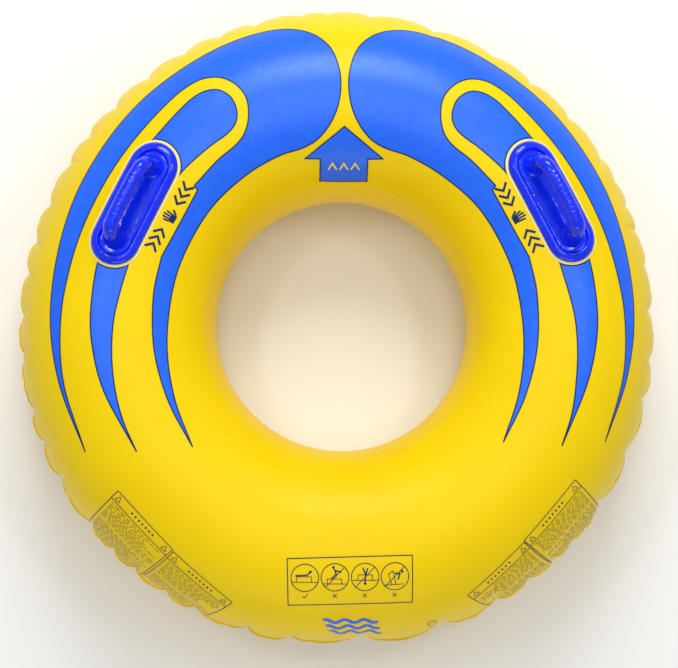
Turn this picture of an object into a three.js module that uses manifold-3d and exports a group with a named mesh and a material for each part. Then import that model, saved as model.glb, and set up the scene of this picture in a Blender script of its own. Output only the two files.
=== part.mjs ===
// An inflatable ride ring for one rider: three vinyl sheets welded round one air chamber, two moulded
// handles on its crown, and a screw-in filling valve with a tethered cap under its rear.
// Millimetres, +Z up. The ring lies flat on z = 0 and its front is towards +Y.
import * as THREE from "three";
import { mergeVertices } from "three/addons/utils/BufferGeometryUtils.js";
import Module from "manifold-3d";

const wasm = await Module();
wasm.setup();

// The ring
const OUTER_RADIUS = 610; // to the free edge of the outer weld
const WELD_WIDTH = 6; // how far the outer weld stands out of the tube
const HOLE_RADIUS = 238;
const VINYL = 0.8; // thickness of the sheet
const FLATTENED = 4; // how far the tube's underside is pressed flat where it lies
const WALL_HALF_ANGLE = 22; // degrees that the inner wall covers above and below the middle of the hole
const LAP_ANGLE = 5; // degrees of overlap in the two inner welds
const RING_COLUMNS = 60;

// The handles
const HANDLE_AZIMUTHS = { left: -61.1, right: 60.1 }; // degrees from the front
const HANDLE_SECTION = 84.5; // degrees up the tube's section from its outer side
const HANDLE_TURN = 2.4; // degrees that each handle is turned out of line with the ring
const HANDLE_LENGTH = 242;
const HANDLE_WIDTH = 92;
const PATCH_MARGIN = 5; // how far the patch shows round the handle
const RIM_HEIGHT = 11.6;
const TRAY_FLOOR = 3.4;
const GRIP_RADIUS = 13;
const GRIP_HEIGHT = 64; // of the bar's centre line over the skin
const FOOT_SPACING = 146; // between the centres of the grip's feet
const FOOT_RADIUS = 21;

// The valve
const VALVE_AZIMUTH = 180;
const VALVE_SECTION = -35;
const PORT_RADIUS = 15.2; // hole through the skin
const NECK_RADIUS = 18.2;
const NECK_BORE = 14.6;
const NECK_TOP = 12;
const FLANGE_RADIUS = 34;
const BARREL_RADIUS = 13.9;
const BARREL_END = -9.3;
const AIRWAY_RADIUS = 9.5;
const NOZZLE_RADIUS = 13;
const GASKET_HEIGHT = 1.2;
const COLLAR_HEIGHT = 1.6;
const CAP_RADIUS = 17.6;
const CAP_TOP = 30;
const ROUND = 24; // sides on a round piece

// Heights out of the skin, worked out from the above
const GAP = 0.3; // between faces that touch
const PATCH_BOTTOM = GAP + 0.1;
const PATCH_TOP = PATCH_BOTTOM + VINYL;
const BASE_BOTTOM = PATCH_TOP + GAP;
const GASKET_BOTTOM = NECK_TOP + GAP;
const INSERT_FLANGE = GASKET_BOTTOM + GASKET_HEIGHT + GAP;
const COLLAR_BOTTOM = INSERT_FLANGE + 2.2 + GAP;
const CAP_BOTTOM = COLLAR_BOTTOM + COLLAR_HEIGHT + GAP;
const NOZZLE_TOP = CAP_TOP - 4;
const BUTTON_HEIGHT = 2.6;

const TUBE_RADIUS = (OUTER_RADIUS - WELD_WIDTH - HOLE_RADIUS) / 2;
const RING_RADIUS = HOLE_RADIUS + TUBE_RADIUS;
const EQUATOR = TUBE_RADIUS - FLATTENED; // height of the middle of the tube

const yellowVinyl = material(0xf3cf12, 0.42);
const blueVinyl = material(0x1830e6, 0.22);
const whitePlastic = material(0xe9ecee, 0.4);
const blackRubber = material(0x24262a, 0.75);

function material(color, roughness) {
  return new THREE.MeshStandardMaterial({ color, roughness, metalness: 0 });
}

// ---- Solids

function toSolid(geometry) {
  const bare = new THREE.BufferGeometry();
  bare.setAttribute("position", geometry.getAttribute("position"));
  bare.setIndex(geometry.index);
  const merged = mergeVertices(bare, 1e-4);
  return new wasm.Manifold(new wasm.Mesh({
    numProp: 3,
    vertProperties: merged.getAttribute("position").array,
    triVerts: new Uint32Array(merged.index.array),
  }));
}

function toMesh(name, solid, look) {
  const { vertProperties, triVerts } = solid.getMesh();
  const geometry = new THREE.BufferGeometry();
  geometry.setAttribute("position", new THREE.BufferAttribute(vertProperties, 3));
  geometry.setIndex(new THREE.BufferAttribute(triVerts, 1));
  geometry.computeVertexNormals();
  const mesh = new THREE.Mesh(geometry, look);
  mesh.name = name;
  return mesh;
}

function points(pairs) {
  return pairs.map(([x, y]) => new THREE.Vector2(x, y));
}

// A profile of [radius, height] pairs turned about Z.
function turned(pairs, segments = ROUND) {
  return new THREE.LatheGeometry(points(pairs), segments).rotateX(Math.PI / 2);
}

// A ring of rectangular section about Z.
function washer(inner, outer, bottom, top, segments = ROUND) {
  return turned([[inner, bottom], [outer, bottom], [outer, top], [inner, top], [inner, bottom]], segments);
}

// ---- Places on the tube

// A frame on the skin: u runs clockwise along the ring, v across it to the outside, w out of the skin.
function placeOnTube(azimuth, section, turn = 0) {
  const around = THREE.MathUtils.degToRad(azimuth);
  const up = THREE.MathUtils.degToRad(section);
  const outward = new THREE.Vector3(Math.sin(around), Math.cos(around), 0);
  const high = new THREE.Vector3(0, 0, 1);
  const w = outward.clone().multiplyScalar(Math.cos(up)).addScaledVector(high, Math.sin(up));
  const u = outward.clone().cross(high).applyAxisAngle(w, THREE.MathUtils.degToRad(turn));
  const v = w.clone().cross(u);
  const origin = outward.clone().multiplyScalar(RING_RADIUS).addScaledVector(high, EQUATOR);
  origin.addScaledVector(w, TUBE_RADIUS);
  return new THREE.Matrix4().makeBasis(u, v, w).setPosition(origin);
}

// Lays a geometry made in (u, v, w) on the tube. Below bendTo it follows the skin, above straightFrom it
// keeps its own shape, and in between the one runs into the other.
function layOnTube(geometry, place, bendTo = Infinity, straightFrom = Infinity) {
  const position = geometry.getAttribute("position");
  const local = new THREE.Vector3();
  for (let i = 0; i < position.count; i++) {
    local.fromBufferAttribute(position, i);
    const straight = local.clone().applyMatrix4(place);
    const share = local.z <= bendTo ? 0 : THREE.MathUtils.smoothstep(local.z, bendTo, straightFrom);
    const onSkin = new THREE.Vector3(local.x, local.y, 0).applyMatrix4(place);
    const centre = new THREE.Vector3(onSkin.x, onSkin.y, 0).setLength(RING_RADIUS).setZ(EQUATOR);
    const bent = centre.addScaledVector(onSkin.sub(centre).normalize(), TUBE_RADIUS + local.z);
    bent.lerp(straight, share);
    position.setXYZ(i, bent.x, bent.y, bent.z);
  }
  return geometry;
}

// ---- The ring's three sheets

// A point of the tube's section at a radius from the tube's middle: 0 is the outer side, 90 the crown.
function sectionPoint(angle, radius) {
  const a = THREE.MathUtils.degToRad(angle);
  const lowest = TUBE_RADIUS - radius; // the flattened underside is level
  return [RING_RADIUS + radius * Math.cos(a), Math.max(lowest, EQUATOR + radius * Math.sin(a))];
}

function anglesBetween(from, to, steps) {
  return Array.from({ length: steps + 1 }, (_, i) => from + ((to - from) * i) / steps);
}

// A sheet that follows the section through the given rising angles, with its outer face at a radius.
function sheetProfile(angles, radius) {
  const outside = angles.map((a) => sectionPoint(a, radius));
  const inside = angles.map((a) => sectionPoint(a, radius - VINYL)).reverse();
  return [outside, inside];
}

function makeUpperSkin() {
  const edge = EQUATOR + GAP / 2;
  const root = THREE.MathUtils.radToDeg(Math.asin((GAP / 2 + VINYL) / TUBE_RADIUS));
  const inner = THREE.MathUtils.radToDeg(Math.asin(GAP / 2 / (TUBE_RADIUS - VINYL)));
  const lapStart = 180 - WALL_HALF_ANGLE - LAP_ANGLE;
  const angles = [...anglesBetween(root, lapStart, 12), 180 - WALL_HALF_ANGLE];
  const [outside, inside] = sheetProfile(angles, TUBE_RADIUS);
  inside[inside.length - 1] = sectionPoint(inner, TUBE_RADIUS - VINYL);
  const profile = [[OUTER_RADIUS, edge], [OUTER_RADIUS, edge + VINYL], ...outside, ...inside, [OUTER_RADIUS, edge]];
  return toSolid(turned(profile, RING_COLUMNS));
}

function makeLowerSkin(valve) {
  const edge = EQUATOR - GAP / 2;
  const root = -THREE.MathUtils.radToDeg(Math.asin((GAP / 2 + VINYL) / TUBE_RADIUS));
  const inner = -THREE.MathUtils.radToDeg(Math.asin(GAP / 2 / (TUBE_RADIUS - VINYL)));
  const level = THREE.MathUtils.radToDeg(Math.asin(EQUATOR / TUBE_RADIUS));
  const lapStart = WALL_HALF_ANGLE + LAP_ANGLE - 180;
  const angles = [
    WALL_HALF_ANGLE - 180,
    ...anglesBetween(lapStart, level - 180, 4),
    ...anglesBetween(-level, root, 6),
  ];
  const [outside, inside] = sheetProfile(angles, TUBE_RADIUS);
  inside[0] = sectionPoint(inner, TUBE_RADIUS - VINYL);
  const profile = [...outside, [OUTER_RADIUS, edge - VINYL], [OUTER_RADIUS, edge], ...inside, outside[0]];
  const port = new THREE.CylinderGeometry(PORT_RADIUS, PORT_RADIUS, 40, ROUND);
  port.rotateX(Math.PI / 2).applyMatrix4(valve);
  return toSolid(turned(profile, RING_COLUMNS)).subtract(toSolid(port));
}

// The sheet round the hole, lapped inside the edges of the other two.
function makeInnerWall() {
  const reach = WALL_HALF_ANGLE + LAP_ANGLE;
  const angles = [
    180 - reach,
    ...anglesBetween(180 - WALL_HALF_ANGLE, 180 + WALL_HALF_ANGLE, 4),
    180 + reach,
  ];
  const [outside, inside] = sheetProfile(angles, TUBE_RADIUS - VINYL - GAP);
  return toSolid(turned([...outside, ...inside, outside[0]], RING_COLUMNS));
}

// ---- The handles

const END_STEPS = 7; // on each round end of a handle's outline
const SIDE_STEPS = 4; // on each straight side

// Where a column of a long round-ended solid stands on its middle line, and which way it faces.
function outlineColumn(column, halfLength) {
  const half = END_STEPS + SIDE_STEPS;
  const step = column % half;
  const side = Math.floor(column / half) % 2 ? -1 : 1;
  const turn = Math.min(step / END_STEPS, 1) * Math.PI - Math.PI / 2;
  const along = step > END_STEPS ? 1 - (2 * (step - END_STEPS)) / SIDE_STEPS : 1;
  return { x: side * along * halfLength, facing: [side * Math.cos(turn), side * Math.sin(turn)] };
}

// A profile of [distance from the middle line, height] pairs taken round a long round-ended outline.
function longSolid(pairs, halfLength) {
  const columns = 2 * (END_STEPS + SIDE_STEPS);
  const geometry = new THREE.LatheGeometry(points(pairs), columns);
  const position = geometry.getAttribute("position");
  for (let i = 0; i < position.count; i++) {
    const [distance, height] = pairs[i % pairs.length];
    const { x, facing } = outlineColumn(Math.floor(i / pairs.length), halfLength);
    position.setXYZ(i, x + distance * facing[0], distance * facing[1], height);
  }
  return geometry;
}

const HALF_WIDTH = HANDLE_WIDTH / 2;
const SPINE = (HANDLE_LENGTH - HANDLE_WIDTH) / 2; // half of the outline's straight stretch

function makeHandlePatch(place) {
  const edge = HALF_WIDTH + PATCH_MARGIN;
  const rings = [0, edge / 3, (2 * edge) / 3, edge];
  const under = rings.map((r) => [r, PATCH_BOTTOM]);
  const over = rings.map((r) => [r, PATCH_TOP]).reverse();
  return toSolid(layOnTube(longSolid([...under, ...over], SPINE), place));
}

function makeHandleBase(place) {
  const rings = [0, 17, 34, HALF_WIDTH];
  const under = rings.map((r) => [r, BASE_BOTTOM]);
  const rim = [
    [HALF_WIDTH, BASE_BOTTOM + 1], [HALF_WIDTH - 1.5, 5.5], [HALF_WIDTH - 5, 8.8],
    [HALF_WIDTH - 10, RIM_HEIGHT - 0.8], [HALF_WIDTH - 13.5, RIM_HEIGHT], [HALF_WIDTH - 16, RIM_HEIGHT - 1.6],
    [HALF_WIDTH - 17.3, 6], [HALF_WIDTH - 20, TRAY_FLOOR],
  ];
  const floor = [[HALF_WIDTH / 4, TRAY_FLOOR], [0, TRAY_FLOOR]];
  return toSolid(layOnTube(longSolid([...under, ...rim, ...floor], SPINE), place));
}

function gripCurve() {
  const foot = FOOT_SPACING / 2;
  const half = [
    [foot, 0, TRAY_FLOOR + 3], [foot, 1, 22], [foot - 2, 3.5, 42],
    [foot - 12, 6, 56], [foot - 30, 7.2, GRIP_HEIGHT - 2],
  ];
  const other = half.map(([u, v, w]) => [-u, v, w]).reverse();
  const route = [...half, [0, 7.8, GRIP_HEIGHT], ...other];
  return new THREE.CatmullRomCurve3(route.map((p) => new THREE.Vector3(...p)));
}

function makeHandleGrip(place) {
  const section = new THREE.Shape().absarc(0, 0, GRIP_RADIUS, 0, 2 * Math.PI);
  const sweep = { steps: 24, curveSegments: 6, extrudePath: gripCurve() };
  let grip = toSolid(layOnTube(new THREE.ExtrudeGeometry(section, sweep), place, 10, 30));
  const bottom = TRAY_FLOOR + GAP;
  const boss = [
    [0, bottom], [FOOT_RADIUS / 2, bottom], [FOOT_RADIUS, bottom], [FOOT_RADIUS - 1, 8], [GRIP_RADIUS + 3, 12.5],
    [GRIP_RADIUS + 0.6, 20], [0, 20],
  ];
  for (const side of [-1, 1]) {
    const foot = turned(boss, 18).translate((side * FOOT_SPACING) / 2, 0, 0);
    grip = grip.add(toSolid(layOnTube(foot, place, 10, 30)));
  }
  return grip;
}

// ---- The valve, each piece made about its own axis with its height out of the skin

function makeValvePatch(valve) {
  const outer = FLANGE_RADIUS + 8;
  const middle = (PORT_RADIUS + outer) / 2;
  const profile = [
    [PORT_RADIUS, PATCH_BOTTOM], [middle, PATCH_BOTTOM], [outer, PATCH_BOTTOM],
    [outer, PATCH_TOP], [middle, PATCH_TOP], [PORT_RADIUS, PATCH_TOP], [PORT_RADIUS, PATCH_BOTTOM],
  ];
  return toSolid(layOnTube(turned(profile), valve));
}

function makeValveBase(valve) {
  const profile = [
    [NECK_BORE, BASE_BOTTOM], [24, BASE_BOTTOM], [FLANGE_RADIUS, BASE_BOTTOM],
    [FLANGE_RADIUS, BASE_BOTTOM + 0.7], [FLANGE_RADIUS - 4, 3.2], [NECK_RADIUS + 2.3, 3.8], [NECK_RADIUS, 5.5],
    [NECK_RADIUS, NECK_TOP], [NECK_BORE, NECK_TOP], [NECK_BORE, BASE_BOTTOM],
  ];
  return toSolid(layOnTube(turned(profile), valve, 4, 8));
}

const SPIDER_BOTTOM = BARREL_END + 4.3;
const SPIDER_TOP = SPIDER_BOTTOM + 2;
const STEM_RADIUS = 1.6;
const FLAP_TRAVEL = 3;

function makeValveInsert() {
  const profile = [
    [AIRWAY_RADIUS, BARREL_END], [BARREL_RADIUS, BARREL_END], [BARREL_RADIUS, INSERT_FLANGE],
    [NECK_RADIUS - 0.6, INSERT_FLANGE], [NECK_RADIUS - 0.6, INSERT_FLANGE + 2.2],
    [NOZZLE_RADIUS, INSERT_FLANGE + 2.2], [NOZZLE_RADIUS, NOZZLE_TOP], [AIRWAY_RADIUS, NOZZLE_TOP],
    [AIRWAY_RADIUS, BARREL_END],
  ];
  let insert = toSolid(turned(profile));
  const hubRadius = STEM_RADIUS + 2.8;
  insert = insert.add(toSolid(washer(STEM_RADIUS + 0.7, hubRadius, SPIDER_BOTTOM, SPIDER_TOP, 12)));
  const armLength = AIRWAY_RADIUS + 0.5 - (hubRadius - 0.5);
  for (const turn of [0, 120, 240]) {
    const arm = new THREE.BoxGeometry(armLength, 2, SPIDER_TOP - SPIDER_BOTTOM);
    arm.translate(hubRadius - 0.5 + armLength / 2, 0, (SPIDER_TOP + SPIDER_BOTTOM) / 2);
    insert = insert.add(toSolid(arm.rotateZ(THREE.MathUtils.degToRad(turn))));
  }
  return insert;
}

// A rubber mushroom: its disc closes the barrel from inside, and its head holds it in the spider.
function makeValveFlap() {
  const discTop = BARREL_END - GAP;
  const headBottom = SPIDER_TOP + FLAP_TRAVEL + GAP;
  const profile = [
    [0, discTop - 1.2], [BARREL_RADIUS - 1.9, discTop - 0.8], [BARREL_RADIUS - 1.9, discTop],
    [STEM_RADIUS, discTop], [STEM_RADIUS, headBottom], [STEM_RADIUS + 1.5, headBottom],
    [STEM_RADIUS + 0.4, headBottom + 1.8], [0, headBottom + 1.8],
  ];
  return toSolid(turned(profile, 18));
}

function makeValveCap() {
  const flutes = 18;
  const outline = Array.from({ length: 4 * flutes }, (_, i) => {
    const turn = (i * Math.PI) / (2 * flutes);
    const radius = CAP_RADIUS + 0.5 * Math.cos(flutes * turn);
    return new THREE.Vector2(radius * Math.cos(turn), radius * Math.sin(turn));
  });
  const depth = CAP_TOP - CAP_BOTTOM;
  const body = new THREE.ExtrudeGeometry(new THREE.Shape(outline), { depth, bevelEnabled: false });
  const hollow = [
    [0, CAP_BOTTOM - 1], [NOZZLE_RADIUS + 0.7, CAP_BOTTOM - 1], [NOZZLE_RADIUS + 0.7, CAP_TOP - 2.4],
    [0, CAP_TOP - 2.4],
  ];
  const buttonTop = CAP_TOP + BUTTON_HEIGHT;
  const button = [
    [0, CAP_TOP - 1], [4, CAP_TOP - 1], [4, buttonTop], [6.2, buttonTop],
    [5.6, buttonTop + 1.4], [0, buttonTop + 1.8],
  ];
  const cup = toSolid(body.translate(0, 0, CAP_BOTTOM)).subtract(toSolid(turned(hollow)));
  return cup.add(toSolid(turned(button, 16)));
}

function makeCapSeal() {
  const bottom = NOZZLE_TOP + GAP;
  const top = CAP_TOP - 2.4 - GAP;
  return toSolid(turned([[0, bottom], [NOZZLE_RADIUS, bottom], [NOZZLE_RADIUS, top], [0, top]]));
}

const COLLAR_RADIUS = NECK_RADIUS + 0.4;
const CAP_RING_RADIUS = 9.5;
const STRAP_WIDTH = 7;

// The strap between the collar and the cap's ring, bowed clear of the cap's side.
function makeTetherStrap() {
  const low = COLLAR_BOTTOM;
  const high = CAP_TOP + BUTTON_HEIGHT - GAP;
  const from = COLLAR_RADIUS + GAP;
  const to = CAP_RING_RADIUS + GAP;
  const bow = 26.5;
  const thick = COLLAR_HEIGHT;
  const side = points([
    [from, low], [bow - 2.5, low], [bow, low + 2.5], [bow, high - 2.5], [bow - 2.5, high], [to, high],
    [to, high - thick], [bow - 3.2, high - thick], [bow - thick, high - 3.2], [bow - thick, low + 3.2],
    [bow - 3.2, low + thick], [from, low + thick],
  ]);
  const strap = new THREE.ExtrudeGeometry(new THREE.Shape(side), { depth: STRAP_WIDTH, bevelEnabled: false });
  return toSolid(strap.rotateX(Math.PI / 2).translate(0, STRAP_WIDTH / 2, 0));
}

// ---- The assembly

const ring = new THREE.Group();
const valvePlace = placeOnTube(VALVE_AZIMUTH, VALVE_SECTION);

ring.add(toMesh("upper_skin", makeUpperSkin(), yellowVinyl));
ring.add(toMesh("lower_skin", makeLowerSkin(valvePlace), yellowVinyl));
ring.add(toMesh("inner_wall", makeInnerWall(), yellowVinyl));

for (const [side, azimuth] of Object.entries(HANDLE_AZIMUTHS)) {
  const place = placeOnTube(azimuth, HANDLE_SECTION, -Math.sign(azimuth) * HANDLE_TURN);
  ring.add(toMesh(side + "_handle_patch", makeHandlePatch(place), yellowVinyl));
  ring.add(toMesh(side + "_handle_base", makeHandleBase(place), blueVinyl));
  ring.add(toMesh(side + "_handle_grip", makeHandleGrip(place), blueVinyl));
}

ring.add(toMesh("valve_patch", makeValvePatch(valvePlace), yellowVinyl));
ring.add(toMesh("valve_base", makeValveBase(valvePlace), whitePlastic));

const valve = new THREE.Group();
const gasket = washer(NECK_BORE, NECK_RADIUS - 0.6, GASKET_BOTTOM, GASKET_BOTTOM + GASKET_HEIGHT);
const collar = washer(NOZZLE_RADIUS + 0.5, COLLAR_RADIUS, COLLAR_BOTTOM, COLLAR_BOTTOM + COLLAR_HEIGHT);
const capRing = washer(4.6, CAP_RING_RADIUS, CAP_TOP + GAP, CAP_TOP + BUTTON_HEIGHT - GAP, 16);
valve.add(toMesh("valve_gasket", toSolid(gasket), blackRubber));
valve.add(toMesh("valve_insert", makeValveInsert(), whitePlastic));
valve.add(toMesh("valve_flap", makeValveFlap(), blackRubber));
valve.add(toMesh("tether_collar", toSolid(collar), whitePlastic));
valve.add(toMesh("tether_strap", makeTetherStrap(), whitePlastic));
valve.add(toMesh("tether_cap_ring", toSolid(capRing), whitePlastic));
valve.add(toMesh("valve_cap", makeValveCap(), whitePlastic));
valve.add(toMesh("cap_seal", makeCapSeal(), blackRubber));
valvePlace.decompose(valve.position, valve.quaternion, valve.scale);
ring.add(valve);

export default ring;
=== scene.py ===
"""The visual model of an inflatable ride ring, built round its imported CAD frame. Metres, +Z up, front at +Y.

Every soft surface is one function of two angles: the azimuth, clockwise from the front, and the section
angle, from the tube's outer side (0) over its crown (90 degrees) to the hole (180 degrees).
"""

import math
import random

import bmesh
import bpy
import numpy as np
from mathutils import Matrix, Vector
from mathutils.geometry import delaunay_2d_cdt


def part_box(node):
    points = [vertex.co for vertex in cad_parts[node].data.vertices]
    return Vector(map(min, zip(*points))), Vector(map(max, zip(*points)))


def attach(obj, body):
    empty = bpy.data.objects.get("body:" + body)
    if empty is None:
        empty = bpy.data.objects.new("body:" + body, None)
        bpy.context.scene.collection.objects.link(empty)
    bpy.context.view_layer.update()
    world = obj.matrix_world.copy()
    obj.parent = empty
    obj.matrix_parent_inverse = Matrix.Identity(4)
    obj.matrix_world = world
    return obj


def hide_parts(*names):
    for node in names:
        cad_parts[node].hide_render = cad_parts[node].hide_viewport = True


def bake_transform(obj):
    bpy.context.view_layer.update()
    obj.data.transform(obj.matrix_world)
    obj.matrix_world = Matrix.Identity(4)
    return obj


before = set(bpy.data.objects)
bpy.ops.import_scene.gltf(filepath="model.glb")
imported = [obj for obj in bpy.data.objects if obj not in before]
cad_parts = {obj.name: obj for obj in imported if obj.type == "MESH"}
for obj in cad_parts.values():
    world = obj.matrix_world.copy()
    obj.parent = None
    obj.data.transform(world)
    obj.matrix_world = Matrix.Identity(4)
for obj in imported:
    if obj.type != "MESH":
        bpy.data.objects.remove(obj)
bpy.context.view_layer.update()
rng = random.Random(7)

# ---- Sizes, from the frame

MM = 0.001
TAU = 2 * math.pi
VINYL = 0.8 * MM
GAP = 0.3 * MM  # between sheets that lie on each other
WELD_WIDTH = 6 * MM

skin_low, skin_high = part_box("upper_skin")
EQUATOR = skin_low.z - GAP / 2
TUBE_RADIUS = skin_high.z - EQUATOR
RING_RADIUS = skin_high.x - WELD_WIDTH - TUBE_RADIUS
WALL_EDGE = math.radians(158)  # section angle where the upper sheet is welded to the inner wall
LAP = math.radians(5)

# ---- The puckered outer weld

LOBE_WIDTHS = [  # degrees, clockwise from the front
    8, 13, 12, 9, 9, 9, 5, 6, 5, 7, 8, 9, 7, 10, 11, 9, 4, 6, 7, 11, 15, 13, 8,
    10, 6, 7, 5, 6, 10, 7, 6, 10, 7, 8, 6, 7, 8, 6, 7, 8, 8, 8, 7, 8, 4,
]
FIRST_NOTCH = math.radians(-3.5)
LOBE_DEPTH = 14.5 * MM  # of a notch between two lobes of ordinary width
ORDINARY_LOBE = math.radians(8)


def make_notch(azimuth, depth, before, after, shortest, longest):
    """A crease that runs in from the outer weld, with its length up the section above and below."""
    length = [math.radians(rng.uniform(shortest, longest)) for _ in range(2)]
    return {"azimuth": azimuth, "depth": depth, "before": before, "after": after, "length": length}


def make_notches():
    """The creases between the lobes, and the faint short ones inside wide lobes."""
    widths = [math.radians(w) for w in LOBE_WIDTHS]
    main, minor, at = [], [], FIRST_NOTCH
    for before, after in zip([widths[-1]] + widths[:-1], widths):
        depth = LOBE_DEPTH * min(1.2, (min(before, after) / ORDINARY_LOBE) ** 0.6) * rng.uniform(0.85, 1.15)
        main.append(make_notch(at, depth, before / 2, after / 2, 30, 46))
        for share in (0.3, 0.62) if after > ORDINARY_LOBE * 1.1 else (0.48,):
            place = at + after * (share + rng.uniform(-0.08, 0.08))
            reach = math.radians(rng.uniform(1.4, 2.2))
            minor.append(make_notch(place, LOBE_DEPTH * rng.uniform(0.06, 0.22), reach, reach, 10, 24))
        at += after
    return main, minor


LOBES, MINOR_CREASES = make_notches()


def wrapped(angle):
    """The same angle within half a turn of zero."""
    return (angle + math.pi) % TAU - math.pi


def lean(azimuth, section):
    """How far a crease that starts at an azimuth wanders sideways on its way up the section."""
    rise = np.minimum(np.abs(section), 1)
    return (0.03 * np.sin(7 * azimuth + 1) + 0.02 * np.sin(12 * azimuth + 2)) * rise


def pucker(azimuth, section):
    """How far the tube's wall is drawn in by the creases, for arrays of angles."""
    start = azimuth - lean(azimuth, section)
    height = np.abs(section)
    upper = section >= 0
    drawn = np.zeros_like(start)
    for notch in LOBES + MINOR_CREASES:
        off = wrapped(start - notch["azimuth"])
        rise = np.clip(height / np.where(upper, *notch["length"]), 0, 1)
        reach = np.where(off < 0, notch["before"], notch["after"]) * (1 - 0.5 * rise)
        near = np.clip(1 - np.abs(off) / reach, 0, 1)
        drawn += notch["depth"] * (0.75 * near**2 + 0.35 * near**7) * (1 - rise) ** 1.3
    return drawn


# Slow swells that hand-welded sheets always have: waves round the ring, phase, size.
SWELLS = [
    (1, 3.3, 6.1 * MM), (2, 2.1, 0.6 * MM), (3, 1.2, 1.0 * MM), (4, 3.6, 0.5 * MM), (5, 4.0, 0.5 * MM),
]
FLAT = 8 * MM  # how far the outer weld is drawn in over a short stretch at the rear
FLAT_REACH = math.radians(8)


def swell(azimuth, section):
    """Uneven fullness of the outer half, none on the crown, under the handles and round the hole."""
    share = np.clip(np.cos(section), 0, 1) ** 1.5
    flat = FLAT * np.exp(-((wrapped(azimuth - math.pi) / FLAT_REACH) ** 2)) * share**3
    return share * sum(size * np.sin(n * azimuth + phase) for n, phase, size in SWELLS) - flat


def on_tube(azimuth, section, lift=0.0):
    """Points of the tube's skin, raised by lift, for arrays of angles."""
    azimuth, section = np.broadcast_arrays(np.asarray(azimuth, float), np.asarray(section, float))
    radius = TUBE_RADIUS + lift + swell(azimuth, section) - pucker(azimuth, section)
    reach = RING_RADIUS + radius * np.cos(section)
    height = np.maximum(EQUATOR + radius * np.sin(section), -lift)  # flattened where it rests
    return np.stack([reach * np.sin(azimuth), reach * np.cos(azimuth), height], -1)


def azimuth_columns(per_lobe=14):
    """Azimuths all round at the outer weld, one on every crease and closest together beside it."""
    columns = []
    for notch in LOBES:
        width = notch["after"] * 2
        steps = max(8, round(per_lobe * width / ORDINARY_LOBE))
        t = np.arange(steps) / steps
        columns.extend(notch["azimuth"] + width * (t - 0.35 * np.sin(TAU * t) / TAU))
    return np.array(columns)


COLUMNS = azimuth_columns()


def columns_at(section):
    """The columns where they cross a section angle: they follow the creases."""
    return COLUMNS + lean(COLUMNS, section)


# ---- Mesh helpers


def new_object(name, vertices, faces):
    """A smooth-shaded mesh object, in the scene."""
    mesh = bpy.data.meshes.new(name)
    mesh.from_pydata([tuple(v) for v in vertices], [], faces)
    mesh.validate()
    mesh.shade_smooth()
    obj = bpy.data.objects.new(name, mesh)
    bpy.context.scene.collection.objects.link(obj)
    return obj


def grid(rows, closed_rows=False):
    """(points, faces) of a surface through rows of points, each a closed loop of the same length."""
    columns, count = len(rows[0]), len(rows)
    faces = []
    for r in range(count if closed_rows else count - 1):
        s = (r + 1) % count
        for c in range(columns):
            d = (c + 1) % columns
            faces.append((r * columns + c, r * columns + d, s * columns + d, s * columns + c))
    return np.concatenate(rows), faces


def assembled(name, *grids, crisp=50):
    """One object from several grids."""
    vertices, faces, start = [], [], 0
    for points, some in grids:
        vertices.append(points)
        faces.extend(tuple(start + i for i in face) for face in some)
        start += len(points)
    return tidy(new_object(name, np.concatenate(vertices), faces), crisp)


def tidy(obj, crisp):
    """Welds coincident points, turns the faces outwards and keeps edges over an angle crisp."""
    mesh = bmesh.new()
    mesh.from_mesh(obj.data)
    bmesh.ops.remove_doubles(mesh, verts=mesh.verts, dist=0.002 * MM)
    bmesh.ops.recalc_face_normals(mesh, faces=mesh.faces)
    mesh.to_mesh(obj.data)
    mesh.free()
    obj.data.set_sharp_from_angle(angle=math.radians(crisp))
    return obj


def show(obj, look, body, slot, *replaced):
    """Gives a piece its look and its body, and hides the CAD nodes that it stands for. The slot is not used."""
    obj.data.materials.clear()
    obj.data.materials.append(look)
    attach(obj, body)
    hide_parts(*replaced)
    return obj


# ---- Materials


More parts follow.
